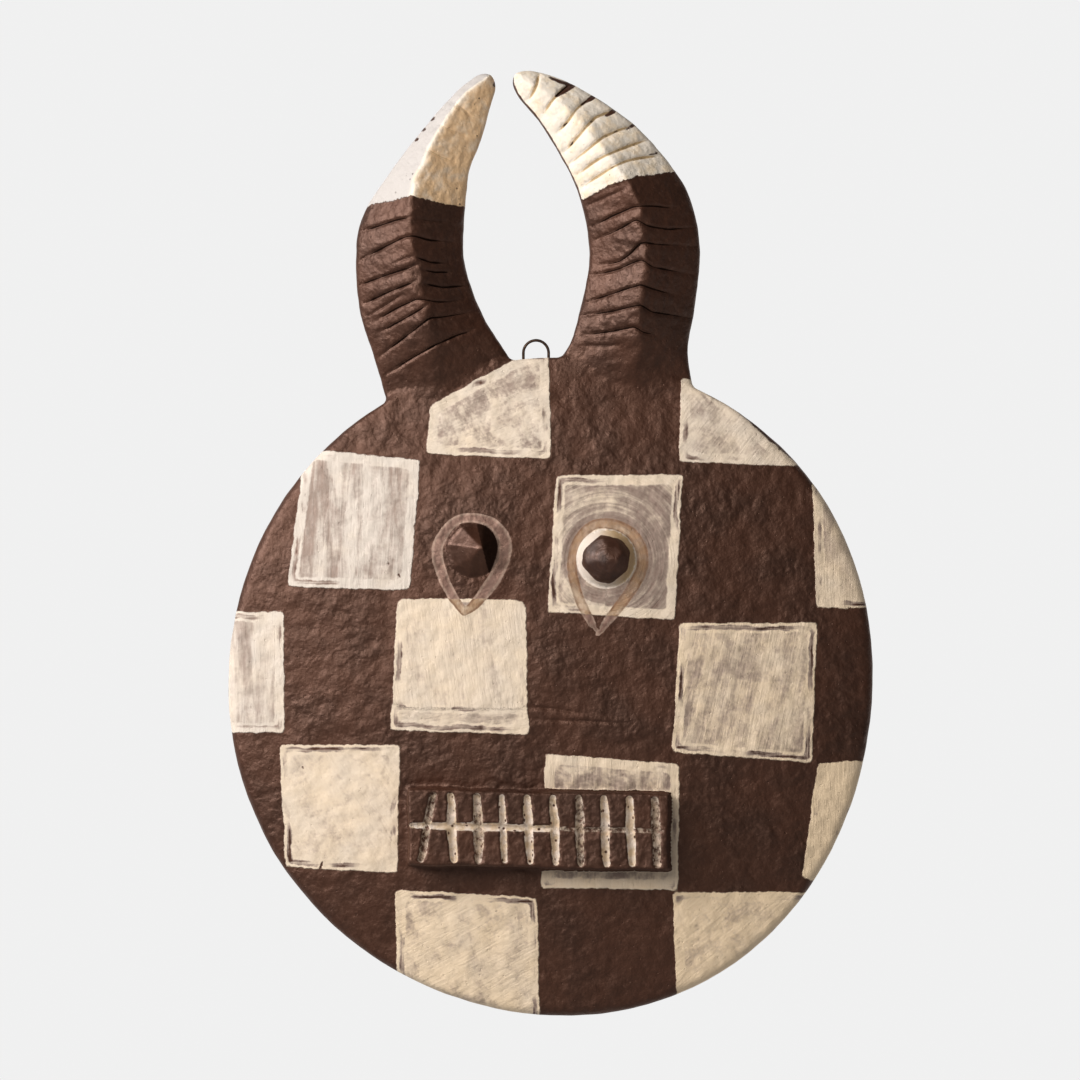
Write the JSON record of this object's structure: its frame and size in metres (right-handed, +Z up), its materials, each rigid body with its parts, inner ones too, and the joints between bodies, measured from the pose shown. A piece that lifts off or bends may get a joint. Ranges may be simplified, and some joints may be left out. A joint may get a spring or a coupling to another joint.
{
  "type": "african wall mask",
  "caption": "Round horned wall mask carved in one piece of wood and painted in a checker, with eye knobs and a mouth block, hung on a wire loop.",
  "frame": {"origin": "inner top of the wire loop, where the nail or hook bears", "axes": "+Z up as it hangs, -Y the way the face looks, +Y into the wall, +X to the right of someone facing the mask"},
  "size_m": [0.3141, 0.0415, 0.4603],
  "materials": {
    "painted_wood": "matt dark brown paint with dry-brushed cream checks over whittled wood",
    "wire": "dull brown oxidised wire"
  },
  "bodies": {
    "root": {"mask_body": "painted_wood", "hanging_wire": "wire"}
  },
  "joints": []
}
